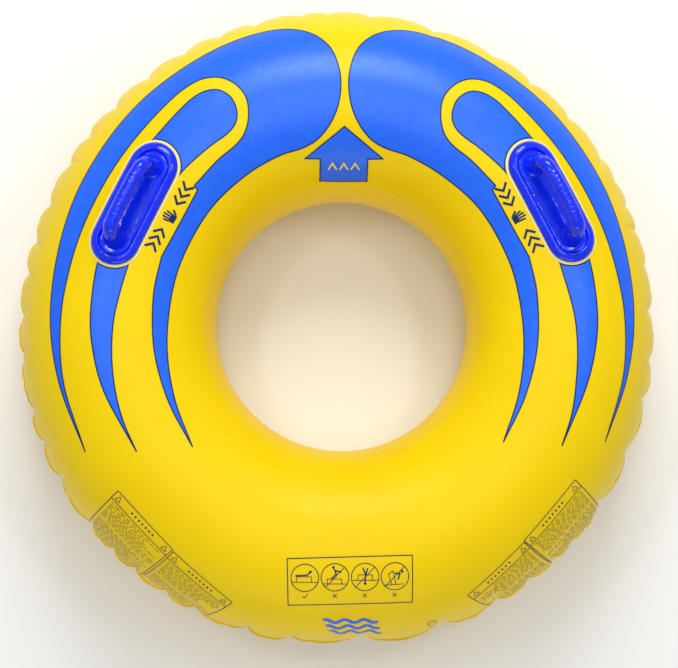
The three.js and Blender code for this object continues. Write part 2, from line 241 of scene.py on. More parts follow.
class Look:
    """One procedural material, with short ways to add and link its nodes."""

    def __init__(self, name, **values):
        self.material = bpy.data.materials.new(name)
        self.material.use_nodes = True
        self.tree = self.material.node_tree
        self.shader = self.tree.nodes["Principled BSDF"]
        for key, value in values.items():
            self.shader.inputs[key.replace("_", " ")].default_value = value

    def add(self, kind, **values):
        """A new node, with values for its inputs or its own properties."""
        node = self.tree.nodes.new("ShaderNode" + kind)
        for key, value in values.items():
            if key.replace("_", " ") in node.inputs:
                node.inputs[key.replace("_", " ")].default_value = value
            else:
                setattr(node, key, value)
        return node

    def link(self, source, target):
        self.tree.links.new(source, target)

    def noise(self, scale, detail=2.0):
        """Noise in the object's own coordinates."""
        node = self.add("TexNoise", Scale=scale, Detail=detail)
        self.link(self.add("TexCoord").outputs["Object"], node.inputs["Vector"])
        return node.outputs["Fac"]

    def ranged(self, source, low, high):
        """Noise stretched to run from low to high."""
        node = self.add("MapRange", From_Min=0.3, From_Max=0.7, To_Min=low, To_Max=high)
        self.link(source, node.inputs["Value"])
        return node.outputs["Result"]

    def clouded(self, scale, first, second):
        """Base colour that drifts between two."""
        node = self.add("Mix", data_type="RGBA")
        self.link(self.ranged(self.noise(scale, 3.0), 0, 1), node.inputs[0])
        node.inputs[6].default_value = (*first, 1)
        node.inputs[7].default_value = (*second, 1)
        self.link(node.outputs[2], self.shader.inputs["Base Color"])

    def uneven(self, scale, low, high):
        """Roughness that drifts between two values."""
        self.link(self.ranged(self.noise(scale, 4.0), low, high), self.shader.inputs["Roughness"])

    def bumps(self, *layers):
        """Bump from (noise scale, strength, distance) layers, coarsest first."""
        normal = None
        for scale, strength, distance in layers:
            bump = self.add("Bump", Strength=strength, Distance=distance)
            self.link(self.noise(scale), bump.inputs["Height"])
            if normal:
                self.link(normal, bump.inputs["Normal"])
            normal = bump.outputs["Normal"]
        self.link(normal, self.shader.inputs["Normal"])


def vinyl_look(name, colour, deeper, roughness):
    """Calendered PVC sheet: satin, unevenly glossy, slightly rippled and finely grained."""
    look = Look(name, IOR=1.3, Specular_Tint=(1, 0.95, 0.6, 1))
    look.clouded(5, colour, deeper)
    look.uneven(38, roughness - 0.04, roughness + 0.05)
    look.bumps((22, 0.10, 4 * MM), (260, 0.10, 0.6 * MM), (1500, 0.12, 0.15 * MM))
    return look.material


def ink_look(name, colour, deeper, roughness, sheen=(1, 1, 1)):
    """Screen-printed ink, with slightly uneven cover."""
    look = Look(name, IOR=1.48, Specular_Tint=(*sheen, 1))
    look.clouded(60, colour, deeper)
    look.uneven(90, roughness - 0.03, roughness + 0.05)
    look.bumps((22, 0.10, 4 * MM), (900, 0.10, 0.2 * MM))
    return look.material


def moulded_look(name, colour, deeper):
    """Glossy soft PVC that light gets a little way into, with flow ripples from the mould."""
    look = Look(name, IOR=1.56, Specular_Tint=(0.75, 0.85, 1, 1), Subsurface_Weight=0.15)
    look.shader.inputs["Subsurface Radius"].default_value = (0.1, 0.3, 1)
    look.shader.inputs["Subsurface Scale"].default_value = 10 * MM
    look.clouded(30, colour, deeper)
    look.uneven(120, 0.07, 0.15)
    look.bumps((60, 0.4, 1.5 * MM), (180, 0.25, 0.5 * MM))
    return look.material


def plastic_look(name, colour, deeper, roughness):
    """Moulded plastic or rubber with a fine grain."""
    look = Look(name, IOR=1.49)
    look.clouded(80, colour, deeper)
    look.uneven(200, roughness - 0.05, roughness + 0.06)
    look.bumps((2600, 0.2, 0.08 * MM))
    return look.material


YELLOW = vinyl_look("yellow_vinyl", (0.93, 0.67, 0.003), (0.89, 0.625, 0.002), 0.37)
# The patches' cream is partly their own colour and partly painted highlight: made paler to stand for light caught
# along their welded edges.
PALE_YELLOW_AND_PAINTED_HIGHLIGHT = vinyl_look("patch_vinyl_and_painted_highlight", (0.95, 0.84, 0.28), (0.93, 0.81, 0.22), 0.42)
BLUE_INK = ink_look("blue_ink", (0.015, 0.145, 0.97), (0.012, 0.125, 0.93), 0.34, (0.7, 0.95, 1))
NAVY_INK = ink_look("navy_ink", (0.005, 0.018, 0.10), (0.004, 0.014, 0.08), 0.42, (0.4, 0.6, 1))
YELLOW_INK = ink_look("yellow_ink", (0.93, 0.72, 0.02), (0.88, 0.66, 0.015), 0.38)
HANDLE_BLUE = moulded_look("handle_vinyl", (0.004, 0.030, 0.95), (0.003, 0.018, 0.85))
WHITE_PLASTIC = plastic_look("valve_plastic", (0.80, 0.82, 0.84), (0.74, 0.77, 0.80), 0.36)
BLACK_RUBBER = plastic_look("seal_rubber", (0.018, 0.018, 0.02), (0.012, 0.012, 0.014), 0.7)

# ---- The ring's sheets

WELD_BAND = math.radians(3.2)  # pressed band beside the edge of each sheet that laps the inner wall
WELD_PRESS = 0.8 * MM
WELD_WAVE = 2.6 * MM  # how far the outer weld rises at a notch of full depth, from a dip between two


def flange_rows(side):
    """The outer weld, from a sheet's free edge in to the tube's wall; side is 1 above and -1 below.
    It is wavy, because it gathers more sheet than its own length."""
    root = on_tube(COLUMNS, np.full_like(COLUMNS, side * 0.004))
    outward = np.stack([np.sin(COLUMNS), np.cos(COLUMNS), np.zeros_like(COLUMNS)], -1)
    wave = WELD_WAVE * (pucker(COLUMNS, np.zeros_like(COLUMNS)) / LOBE_DEPTH - 0.35)
    rows = []
    for out, sheet in ((0.9, 0), (0.99, 0.2), (0.99, 0.7), (0.93, 1), (0.7, 0.8), (0.32, 0.8), (0.2, 1)):
        # out is a share of the weld's width, and sheet one of the sheet's thickness
        row = root + outward * out * WELD_WIDTH
        row[:, 2] = EQUATOR + wave * out + side * (GAP / 2 + VINYL * sheet)
        rows.append(row)
    return rows


def wall_sections(side):
    """Section angles of a sheet from the outer weld to the lap; the lower side has a level underside."""
    if side > 0:
        degrees = np.concatenate([np.linspace(0.4, 60, 46), np.linspace(62.5, 152, 38)])
    else:
        level = math.degrees(math.asin(EQUATOR / TUBE_RADIUS))
        degrees = np.concatenate([
            np.linspace(0.4, 60, 42), np.linspace(63, level, 7), np.linspace(level + 3, 177 - level, 6),
            np.linspace(180 - level, 152, 14),
        ])
    return side * np.radians(degrees)


def make_sheet(name, side):
    """The upper or lower sheet, with its half of the outer weld and its welded edge over the inner wall."""
    rows = flange_rows(side) + [on_tube(columns_at(s), s) for s in wall_sections(side)]
    for back, dip in (
        (1.15, 0), (1, 0.3), (0.85, 1), (0.4, 1), (0.15, 1), (0.04, 0.2), (0, 0.25), (0, 1.8), (1, 1.8),
    ):  # the pressed band, in widths back from the edge, and the cut edge itself
        section = side * (WALL_EDGE - WELD_BAND * back)
        rows.append(on_tube(columns_at(section), section, -dip * WELD_PRESS))
    obj = assembled(name + "_sheet", grid(rows))
    return show(obj, YELLOW, "ring", "yellow_vinyl", name)


def cut_port(sheet, valve):
    """Opens the sheet under the valve's patch."""
    origin, _, _, axis = valve
    mesh = bmesh.new()
    mesh.from_mesh(sheet.data)
    inside = []
    for vertex in mesh.verts:
        away = np.array(vertex.co) - origin
        from_axis = np.linalg.norm(away - axis * away.dot(axis))
        if np.linalg.norm(away) < 40 * MM and from_axis < PORT_RADIUS + 4 * MM:
            inside.append(vertex)
    bmesh.ops.delete(mesh, geom=inside, context="VERTS")
    mesh.to_mesh(sheet.data)
    mesh.free()


def make_inner_wall():
    """The sheet round the hole, lapped inside the other two."""
    reach = math.pi - WALL_EDGE + LAP
    sections = np.linspace(math.pi - reach, math.pi + reach, 40)
    rows = [on_tube(COLUMNS, s, -VINYL - GAP) for s in sections]
    return show(assembled("inner_wall_sheet", grid(rows)), YELLOW, "ring", "yellow_vinyl", "inner_wall")


# ---- Places on the tube


def place_on_tube(azimuth, section, turn=0):
    """(origin, u, v, w) in degrees: u clockwise along the ring, v across it to the outside, w out of it."""
    around, up, turned = np.radians([azimuth, section, turn])
    outward = np.array([math.sin(around), math.cos(around), 0])
    high = np.array([0, 0, 1.0])
    w = outward * math.cos(up) + high * math.sin(up)
    u = np.cross(outward, high)
    u = u * math.cos(turned) + np.cross(w, u) * math.sin(turned)
    return outward * RING_RADIUS + high * EQUATOR + w * TUBE_RADIUS, u, np.cross(w, u), w


def straight(points, place):
    """Points given in (u, v, w) at a place, not bent with the skin."""
    origin, u, v, w = place
    points = np.asarray(points, float)
    return origin + points[:, :1] * u + points[:, 1:2] * v + points[:, 2:] * w


def angles_under(points):
    """Azimuth and section of the skin nearest to each point."""
    azimuth = np.arctan2(points[:, 0], points[:, 1])
    across = np.hypot(points[:, 0], points[:, 1]) - RING_RADIUS
    return azimuth, np.arctan2(points[:, 2] - EQUATOR, across)


def laid(points, place, bend_to=math.inf, straight_from=math.inf):
    """Points given in (u, v, w), bent with the skin up to the height bend_to and straight above."""
    points = np.asarray(points, float)
    foot = points * (1, 1, 0)
    bent = on_tube(*angles_under(straight(foot, place)), points[:, 2])
    if bend_to == math.inf:
        return bent
    t = np.clip((points[:, 2:] - bend_to) / (straight_from - bend_to), 0, 1)
    t = t * t * (3 - 2 * t)
    return bent * (1 - t) + straight(points, place) * t


# ---- The handles

HANDLE_AZIMUTHS = {"left": -61.1, "right": 60.1}  # degrees, as are the next two
HANDLE_SECTION = 84.5  # just outside the crown
HANDLE_TURN = 2.4  # degrees that each handle's rear end is turned in towards the hole
HANDLE_LENGTH = 242 * MM
HANDLE_WIDTH = 92 * MM
SPINE = (HANDLE_LENGTH - HANDLE_WIDTH) / 2
PATCH_REACH = HANDLE_WIDTH / 2 + 5 * MM
FOOT = 73  # mm from the handle's middle to the middle of each foot
GRIP_RADIUS = 13 * MM
RIB_PITCH = 8.5 * MM
RIBBED = 46 * MM  # half the length of the bar that is ribbed
TRAY = 3.65 * MM  # the height of the tray's floor, where the feet stand
BEND_BELOW, STRAIGHT_ABOVE = 10 * MM, 30 * MM  # a foot follows the skin, and the bar doesn't


def smooth_line(points, spacing):
    """A centripetal Catmull-Rom line through points, with samples about a spacing apart."""
    p = np.asarray(points, float)
    p = np.vstack([2 * p[0] - p[1], p, 2 * p[-1] - p[-2]])
    out = []
    for p0, p1, p2, p3 in zip(p, p[1:], p[2:], p[3:]):
        t1 = math.sqrt(np.linalg.norm(p1 - p0))
        t2 = t1 + math.sqrt(np.linalg.norm(p2 - p1))
        t3 = t2 + math.sqrt(np.linalg.norm(p3 - p2))
        steps = max(2, math.ceil(np.linalg.norm(p2 - p1) / spacing))
        t = np.linspace(t1, t2, steps, endpoint=False)[:, None]
        a1 = ((t1 - t) * p0 + t * p1) / t1
        a2 = ((t2 - t) * p1 + (t - t1) * p2) / (t2 - t1)
        a3 = ((t3 - t) * p2 + (t - t2) * p3) / (t3 - t2)
        b1 = ((t2 - t) * a1 + t * a2) / t2
        b2 = ((t3 - t) * a2 + (t - t1) * a3) / (t3 - t1)
        out.append(((t2 - t) * b1 + (t - t1) * b2) / (t2 - t1))
    return np.vstack(out + [p[-2]])


def long_loop(distance, height, end_steps=26, side_steps=26):
    """A closed loop round a handle's middle line, at a distance from it."""
    loop = []
    for side in (1, -1):
        for turn in np.linspace(-math.pi / 2, math.pi / 2, end_steps, endpoint=False):
            loop.append((side * (SPINE + distance * math.cos(turn)), side * distance * math.sin(turn), height))
        for along in np.linspace(1, -1, side_steps, endpoint=False):
            loop.append((side * along * SPINE, side * distance, height))
    return np.array(loop)


def make_handle_patch(side, place):
    """The thin vinyl patch under a handle, with a soft edge, coloured paler than the sheet as a painted highlight
    along that edge.
    """
    profile = [
        (0, 0.4), (15, 0.4), (30, 0.4), (50.4, 0.4), (51, 0.6), (51, 0.95), (50.4, 1.25), (49.4, 1.3),
        (48.6, 1.15), (47.5, 1.05), (45, 1.0), (30, 1.0), (15, 1.0), (0, 1.0),
    ]
    rows = [laid(long_loop(d * MM, h * MM), place) for d, h in profile]
    node = side + "_handle_patch"
    show(assembled(node + "_shown", grid(rows)), PALE_YELLOW_AND_PAINTED_HIGHLIGHT, "ring", "yellow_vinyl", node)


def make_handle_base(side, place):
    """The moulded plate: a rounded rim that steps down into a tray between the grip's feet."""
    under = [(0, 1.5), (14, 1.5), (28, 1.5), (40, 1.5), (45.4, 1.5)]
    rim = smooth_line([
        (45.4, 1.5), (46, 2.2), (45.9, 3.6), (45, 5.4), (43.4, 7.2), (41, 9.0), (38, 10.5), (34.8, 11.4),
        (32.2, 11.6), (30.4, 10.9), (29.3, 9.2), (28.7, 7.0), (28.2, 5.0), (27.2, 3.8), (25.6, 3.4),
    ], 0.9)
    floor = [(22, 3.3), (17, 3.3), (11, 3.3), (5, 3.3), (0, 3.3)]
    rows = [laid(long_loop(d * MM, h * MM), place) for d, h in [*under, *rim[1:], *floor]]
    node = side + "_handle_base"
    show(assembled(node + "_shown", grid(rows), crisp=70), HANDLE_BLUE, "ring", "handle_vinyl", node)


def grip_girth(along, height):
    """The grip's radius: flared at the feet, a little fuller at the elbows and ribbed where it is held."""
    flare = np.clip(1 - (height - 4 * MM) / (17 * MM), 0, 1)
    held = np.clip((RIBBED - np.abs(along)) / (4 * MM), 0, 1)
    rib = np.abs(np.sin(math.pi * along / RIB_PITCH)) ** 0.7
    elbow = np.exp(-(((np.abs(along) - 62 * MM) / (10 * MM)) ** 2)) * np.clip(height / (40 * MM) - 0.6, 0, 1)
    return GRIP_RADIUS - 0.4 * MM + 8 * MM * flare**2.4 + held * (1.1 * rib - 0.4) * MM + 1.2 * MM * elbow


def make_handle_grip(side, place):
    """An arched bar with a foot at each end, leaning a little outwards."""
    half = [(FOOT, 0, 3.7), (FOOT, 0.3, 12), (FOOT, 1, 22), (71, 3.5, 42), (61, 6, 56), (43, 7.2, 62)]
    route = half + [(0, 7.8, 64)] + [(-u, v, w) for u, v, w in reversed(half)]
    path = smooth_line(np.array(route) * MM, 1.1 * MM)
    along = np.gradient(path, axis=0)
    along /= np.linalg.norm(along, axis=1)[:, None]
    across = np.cross(along, (0, 1, 0.12))
    across /= np.linalg.norm(across, axis=1)[:, None]
    other = np.cross(along, across)
    girth = grip_girth(path[:, 0], path[:, 2])
    turns = np.linspace(0, TAU, 48, endpoint=False)
    flash = 0.25 * MM * np.exp(-((np.abs(wrapped(2 * turns)) / 0.14) ** 2))  # the mould's parting line
    rows = []
    for point, a, b, radius in zip(path, across, other, girth):
        ring = point + (radius + flash)[:, None] * (np.outer(np.cos(turns), b) + np.outer(np.sin(turns), a))
        ring[:, 2] = np.maximum(ring[:, 2], TRAY)
        rows.append(ring)
    ends = [np.full((len(turns), 3), rows[end].mean(0)) for end in (0, -1)]
    rows = [laid(row, place, BEND_BELOW, STRAIGHT_ABOVE) for row in [ends[0], *rows, ends[1]]]
    node = side + "_handle_grip"
    show(assembled(node + "_shown", grid(rows), crisp=60), HANDLE_BLUE, "ring", "handle_vinyl", node)


HANDLE_PLACES = {
    side: place_on_tube(azimuth, HANDLE_SECTION, -math.copysign(HANDLE_TURN, azimuth))
    for side, azimuth in HANDLE_AZIMUTHS.items()
}

# ---- The prints, in degrees from the front and millimetres from the ring's axis, for the right half

FILM_LIFT = 0.35 * MM  # how far printed areas stand off the skin, and printed lines beyond them
LINE_LIFT = 0.6 * MM
OUTLINE = 2.4 * MM

SWOOSH = [  # smooth runs that meet at corners
    [(117, 529), (102, 533), (89, 538), (73, 542), (60, 548), (43, 556), (26, 562), (16, 563), (10.5, 556),
     (6.3, 538), (3, 506), (1.2, 460), (1.0, 425), (2.1, 388), (5, 356), (9, 336), (13.5, 328), (21, 327),
     (33, 323.5), (50, 319), (69, 316.5), (82, 318), (99, 326), (115, 339), (130, 358)],
    [(130, 358), (115, 351), (99, 349), (82, 349.5), (71, 351.5)],
    [(71, 351.5), (48.5, 357.5)],
    [(48.5, 357.5), (48.3, 367)],
    [(48.3, 367), (38, 373), (32, 377), (28.4, 387), (25.3, 412), (23.9, 448), (25, 480), (27.2, 503),
     (30.5, 517), (34.5, 519.5), (39.5, 515.5), (50, 508.5), (60, 506), (71, 507.5), (81, 511.5), (90, 517.5),
     (102, 524), (117, 529)],
]
FRONT_FINGER = [
    [(53, 481), (46, 482), (38.5, 489.5), (34, 494.5), (31, 492), (28.6, 481), (27, 455), (27.6, 425),
     (29.2, 411), (32, 403), (38, 401.5), (46, 401.5), (53, 401.5)],
    [(53, 401.5), (53, 481)],
]
REAR_FINGER = [
    [(70, 404), (78, 404.5), (83, 408.5), (90, 416.5), (98.5, 424.5), (107, 432), (114.5, 437.5), (122.5, 442)],
    [(122.5, 442), (106.5, 452.5), (98, 457), (90, 459), (78, 458.5), (70, 457)],
    [(70, 457), (70, 404)],
]
ARROW = [(0, 356.5), (72, 301), (44, 301), (44, 265.5), (-44, 265.5), (-44, 301), (-72, 301)]  # x and y


def plan_of(polar):
    """Plan points in metres from (azimuth in degrees, reach in millimetres)."""
    azimuth, reach = np.radians([a for a, _ in polar]), np.array([r for _, r in polar]) * MM
    return np.stack([reach * np.sin(azimuth), reach * np.cos(azimuth)], -1)


def ramp(x, start, end):
    """0 up to the start, 1 from the end on, and even between."""
    return min(1, max(0, (x - start) / (end - start)))


def drifted(run, sign):
    """A polar run of the print as it came out on one half: further out inside, and shorter on the right."""
    inner, middle, tip, short = (2, 2.5, 1.5, 0) if sign < 0 else (7, 4, 11, 2.4)  # mm, mm, mm and degrees
    out = []
    for azimuth, reach in run:
        if reach < 400:
            reach += inner * ramp(azimuth, 30, 55)
        elif reach < 470 and azimuth > 65:
            reach += middle + tip * ramp(azimuth, 105, 122)
        out.append((azimuth - short * ramp(azimuth, 75, 120), reach))
    return out


def outline_of(runs, sign, spacing=3 * MM):
    """One closed plan outline through polar runs, on the left half for sign -1."""
    lines = [smooth_line(plan_of(drifted(run, sign)), spacing)[:-1] for run in runs]
    return np.vstack(lines) * (sign, 1)


def angles_of(plan):
    """Azimuth and upper section angle of plan points."""
    azimuth, across = np.arctan2(plan[:, 0], plan[:, 1]), np.hypot(plan[:, 0], plan[:, 1]) - RING_RADIUS
    section = np.arccos(np.clip(across / TUBE_RADIUS, -1, 1))
    for _ in range(4):  # the swell changes with the section
        section = np.arccos(np.clip(across / (TUBE_RADIUS + swell(azimuth, section)), -1, 1))
    return azimuth, section


def inside_of(points, outline):
    """Which points lie in a closed outline."""
    hit = np.zeros(len(points), bool)
    for (x1, y1), (x2, y2) in zip(outline, np.roll(outline, -1, 0)):
        if y1 != y2:
            crosses = (y1 > points[:, 1]) != (y2 > points[:, 1])
            hit ^= crosses & (points[:, 0] < (x2 - x1) * (points[:, 1] - y1) / (y2 - y1) + x1)
    return hit


def skin_points():
    """The upper sheet's own points, unrolled: lengths round the ring and up the section."""
    sections = wall_sections(1)
    azimuth = np.concatenate([columns_at(s) for s in sections])
    return np.stack([wrapped(azimuth) * RING_RADIUS, np.repeat(sections, len(COLUMNS)) * TUBE_RADIUS], -1)


SKIN = skin_points()


def make_film(name, plan, look, slot, lift=FILM_LIFT):
    """A printed area inside a plan outline, laid on the skin through the skin's own points."""
    azimuth, section = angles_of(plan)
    outline = np.stack([azimuth * RING_RADIUS, section * TUBE_RADIUS], -1)
    low, high = outline.min(0), outline.max(0)
    near = SKIN[((SKIN > low) & (SKIN < high)).all(1)]
    near = near[inside_of(near, outline)]
    if len(near):
        gaps = np.min([np.hypot(*(near - p).T) for p in outline], axis=0)
        near = near[gaps > 1.2 * MM]
    points = [Vector(p) for p in np.vstack([outline, near])]
    made = delaunay_2d_cdt(points, [], [list(range(len(outline)))], 1, 1e-7)
    flat = np.array([tuple(p) for p in made[0]])
    vertices = on_tube(flat[:, 0] / RING_RADIUS, flat[:, 1] / TUBE_RADIUS, lift)
    return show(new_object(name, vertices, made[2]), look, "ring", slot)


class Ink:
    """Lines of print, gathered into one piece."""

    def __init__(self, lift=LINE_LIFT):
        self.vertices, self.faces, self.lift = [], [], lift

    def line(self, azimuth, section, width, closed=False):
        """A line of even width through skin angles."""
        azimuth, section = np.unwrap(np.array(azimuth, float)), np.array(section, float)
        reach = RING_RADIUS + TUBE_RADIUS * np.cos(section)
        ahead = lambda x: np.roll(x, -1) - np.roll(x, 1) if closed else np.gradient(x)
        along = np.stack([wrapped(ahead(azimuth)) * reach, ahead(section) * TUBE_RADIUS], -1)
        along /= np.linalg.norm(along, axis=1)[:, None] + 1e-12
        start, count = len(self.vertices), len(azimuth)
        for side in (1, -1):
            a = azimuth - side * along[:, 1] * width / 2 / reach
            s = section + side * along[:, 0] * width / 2 / TUBE_RADIUS
            self.vertices.extend(on_tube(a, s, self.lift))
        for i in range(count if closed else count - 1):
            j = (i + 1) % count
            self.faces.append((start + i, start + j, start + count + j, start + count + i))

    def plan_line(self, plan, width, closed=False):
        """A line of even width over plan points."""
        self.line(*angles_of(np.asarray(plan, float)), width, closed)

    def corners(self, plan, width, closed=True, spacing=5 * MM):
        """Straight lines between plan points, each on its own, so that the corners are square."""
        plan = np.asarray(plan, float)
        ends = np.roll(plan, -1, 0) if closed else plan[1:]
        for p, q in zip(plan, ends):
            steps = max(2, math.ceil(np.linalg.norm(q - p) / spacing) + 1)
            over = (q - p) / np.linalg.norm(q - p) * width / 2
            self.plan_line(np.linspace(p - over, q + over, steps), width)

    def made(self, name, look, slot):
        """The gathered lines as one piece."""
        return show(new_object(name, self.vertices, self.faces), look, "ring", slot)


def patch_outline(place, margin):
    """Plan points of a loop round a handle's patch."""
    return straight(long_loop(PATCH_REACH + margin, 0), place)[:, :2]


def make_swooshes():
    """The blue print and its navy outline on both halves."""
    ink = Ink()
    for side, sign in (("left", -1), ("right", 1)):
        place = HANDLE_PLACES[side]
        for name, runs in (("swoosh", SWOOSH), ("front_finger", FRONT_FINGER), ("rear_finger", REAR_FINGER)):
            plan = outline_of(runs, sign)
            make_film(f"{side}_{name}", plan, BLUE_INK, "blue_print")
            for run in runs if name == "swoosh" else runs[:-1]:
                ink.plan_line(smooth_line(plan_of(drifted(run, sign)), 3 * MM) * (sign, 1), OUTLINE)
            if name != "swoosh":  # the line where the handle's patch cuts across the finger
                loop = patch_outline(place, 1.5 * MM)
                shown = inside_of(loop, plan)
                starts = np.flatnonzero(shown & ~np.roll(shown, 1))
                for start in starts:
                    ordered = np.roll(loop, -start, 0)
                    count = int(np.argmin(np.roll(shown, -start)))
                    if count > 2:
                        ink.plan_line(ordered[:count], OUTLINE)
    ink.made("swoosh_outlines", NAVY_INK, "navy_print")


def make_arrow():
    """The arrow that shows the front, with three chevrons on it."""
    plan = np.array(ARROW) * MM
    pieces = [np.linspace(p, q, 14, endpoint=False) for p, q in zip(plan, np.roll(plan, -1, 0))]
    make_film("arrow", np.vstack(pieces), BLUE_INK, "blue_print")
    ink = Ink()
    ink.corners(plan, OUTLINE)
    ink.made("arrow_outline", NAVY_INK, "navy_print")
    ink = Ink()
    for x in (-21, 0, 21):
        ink.corners(np.array([(x - 7, 285), (x, 294), (x + 7, 285)]) * MM, 3 * MM, closed=False)
    ink.made("arrow_chevrons", YELLOW_INK, "yellow_vinyl")


def stamped(points, centre, along, up):
    """Plan points of a drawing in millimetres, set at a centre with its own axes."""
    points = np.asarray(points, float) * MM
    return centre + points[:, :1] * along + points[:, 1:] * up


def make_hand_labels():
    """A hand between chevrons, beside each handle, where the rider's hands go."""
    ink = Ink()
    for sign in (-1, 1):
        around = math.radians(59.5)
        up = np.array([sign * math.sin(around), math.cos(around)])
        along = np.array([-up[1], up[0]])
        centre = up * (371.5 + 0.5 * sign) * MM
        palm, thumb = ([(-7, -7), (8, -7)], 11), ([(8 * sign, -9), (14 * sign, 0)], 3.6)
        tips = ((-5.5, 9), (-1, 12.5), (3.5, 11.5), (7.5, 8))
        fingers = [([(x, -3), (x * 1.25, top)], 3.2) for x, top in tips]
        for points, width in (palm, thumb, *fingers):
            plan = stamped(points, centre, along, up)
            ink.plan_line(np.linspace(*plan, 6), width * MM)
        for x in (63, 48, 33):
            for end in (-1, 1):
                chevron = [(end * (x + 4), -10), (end * (x - 6), 0), (end * (x + 4), 10)]
                ink.corners(stamped(chevron, centre, along, up), 4.4 * MM, closed=False)
    ink.made("hand_labels", NAVY_INK, "navy_print")


# Each ruled panel: half, middle azimuth, section angle of its top edge's middle and tilt in degrees, then
# width and height in mm.
PANELS = [
    (-1, 135.2, 58.6, 2.7, 146, 152), (-1, 151.2, 50.4, 16, 144, 120),
    (1, 132.7, 58.6, 2.7, 146, 152), (1, 148.5, 50.4, 16, 144, 120),
]
HEADER = 21
LINE_PITCH = 6
BLANK_LINE = 75  # between two blocks of print
GATHER = 0.06  # how much narrower a panel gets towards the gathered outer weld


def make_ruled_panels():
    """Framed blocks of ruled dashes, where small print would be."""
    ink = Ink()
    for sign, middle, top, tilt, width, height in PANELS:
        turn = math.radians(tilt)

        def rule(x1, y1, x2, y2, thick=1.1):
            steps = max(2, math.ceil(math.hypot(x2 - x1, y2 - y1) / 2.5) + 1)
            y = np.linspace(y1, y2, steps)
            x = (np.linspace(x1, x2, steps) - width / 2) * (1 - GATHER * y / height)
            along, down = x * math.cos(turn) - y * math.sin(turn), x * math.sin(turn) + y * math.cos(turn)
            down -= ((width / 2) ** 2 - x**2) / 1000  # straight in plan, so it bows against the ring
            section = math.radians(top) - down * MM / TUBE_RADIUS
            azimuth = math.radians(middle) + along * MM / (RING_RADIUS + TUBE_RADIUS * np.cos(section))
            ink.line(sign * azimuth, section, thick * MM)

        for x1, y1, x2, y2 in (
            (0, 0, width, 0), (0, height, width, height), (0, 0, 0, height), (width, 0, width, height),
            (0, HEADER, width, HEADER),
        ):
            rule(x1, y1, x2, y2, 1.5)
        for x in (12, width - 12):  # warning triangles
            rule(x - 6, 16, x + 6, 16)
            rule(x - 6, 16, x, 5)
            rule(x, 5, x + 6, 16)
        for k in range(7):  # the heading, as a row of dots
            rule(width / 2 - 27 + 9 * k, 10.5, width / 2 - 23.5 + 9 * k, 10.5, 4)
        for y in np.arange(HEADER + 7, height - 4, LINE_PITCH):
            if abs(y - BLANK_LINE) < 5:
                continue
            x, right = 7.0, width - rng.choice((6, 6, 7, 10, 40))
            while x < right - 4:
                end = min(x + rng.uniform(4, 13), right)
                rule(x, y, end, y, 1.3)
                x = end + rng.uniform(3, 5)
    ink.made("ruled_panels", NAVY_INK, "navy_print")


def circle(x, y, radius, steps=72, squash=1.0):
    """Plan points of a circle given in millimetres."""
    turns = np.linspace(0, TAU, steps, endpoint=False)
    return np.stack([x + radius * np.cos(turns), y + squash * radius * np.sin(turns)], -1) * MM


# Strokes of each figure as (width, points), in millimetres from its circle's centre. A head is one point.
THIN, LIMB, HEAD = 1.2, 2.4, 0
FIGURES = [
    [  # lying on the ring
        (THIN, [(-24, -8), (24, -8)]), (THIN, [(-15, -8), (-15, 2), (12, 2), (12, -8)]),
        (LIMB, [(-16, 4), (4, 5), (8, 9)]), (HEAD, [(10, 11)]),
    ],
    [  # kneeling
        (THIN, [(-22, -12), (22, -12)]), (THIN, [(-14, -12), (-14, -3), (12, -3), (12, -12)]),
        (LIMB, [(-6, -2), (2, 6), (-1, 14)]), (LIMB, [(1, 12), (10, 10)]), (HEAD, [(-3, 18)]),
    ],
    [  # head first
        (THIN, [(-22, -6), (22, -6)]), (THIN, [(-13, -6), (-13, 4), (13, 4), (13, -6)]),
        (LIMB, [(-4, 16), (1, 4), (4, 15)]), (LIMB, [(1, 4), (0, -8)]), (HEAD, [(0, -12)]),
    ],
    [  # tipping over
        (THIN, [(-18, -16), (16, -14)]), (THIN, [(-6, -14), (-12, 4), (-4, 10), (2, -14)]),
        (LIMB, [(0, 6), (9, 5), (6, -5)]), (HEAD, [(13, 9)]),
    ],
]


def make_picture_panel():
    """Four round pictures of riders in a frame: one way to ride, and three ways not to."""
    ink = Ink()

    def strokes(centre, points, width):
        ink.corners((np.array(points, float) + centre) * MM, width * MM, closed=False)

    ink.corners(np.array([(-104, -432), (122, -426), (124, -513), (-102, -518)]) * MM, 1.7 * MM)
    centres = ((-72, -467), (-17.5, -466), (37, -465.5), (91, -464.5))
    for allowed, centre, figure in zip((True, False, False, False), centres, FIGURES):
        x, y = centre
        ink.plan_line(circle(x, y, 25), 1.5 * MM, closed=True)
        if not allowed:
            strokes(centre, [(-17, -18), (17, 18)], 1.3)
        for width, points in figure:
            if width == HEAD:
                ink.plan_line(circle(x + points[0][0], y + points[0][1], 1.3, 16), 2.4 * MM, closed=True)
            else:
                strokes(centre, points, width)
        if allowed:
            strokes(centre, [(-4, -34), (-1, -37), (5, -31)], 1.3)
        else:
            strokes(centre, [(3, -37), (-3, -31)], 1.3)
            strokes(centre, [(-3, -37), (3, -31)], 1.3)
    ink.plan_line(circle(165, -558, 8, 32, 0.7), 1.3 * MM, closed=True)  # the empty round mark
    ink.made("picture_panel", NAVY_INK, "navy_print")


def make_wave_mark():
    """Three blue wave lines at the rear."""
    ink = Ink()
    for middle, left, right, width in ((-549, -38, 62, 7.5), (-561, -32, 66, 7.5), (-572, -26, 70, 6.5)):
        x = np.linspace(left, right, 60)
        y = middle + 3.2 * np.sin((x + middle / 2) / 5.6)
        ink.plan_line(np.stack([x, y], -1) * MM, width * MM)
    ink.made("wave_mark", BLUE_INK, "blue_print")


# ---- The valve, made about its own axis, with heights out of the skin in millimetres

VALVE = place_on_tube(180, -35)
PORT_RADIUS = 15.2 * MM
THREAD_PITCH = 3.0
THREAD_DEPTH = 0.7
SIDES = 96
TURNS = np.linspace(0, TAU, SIDES, endpoint=False)


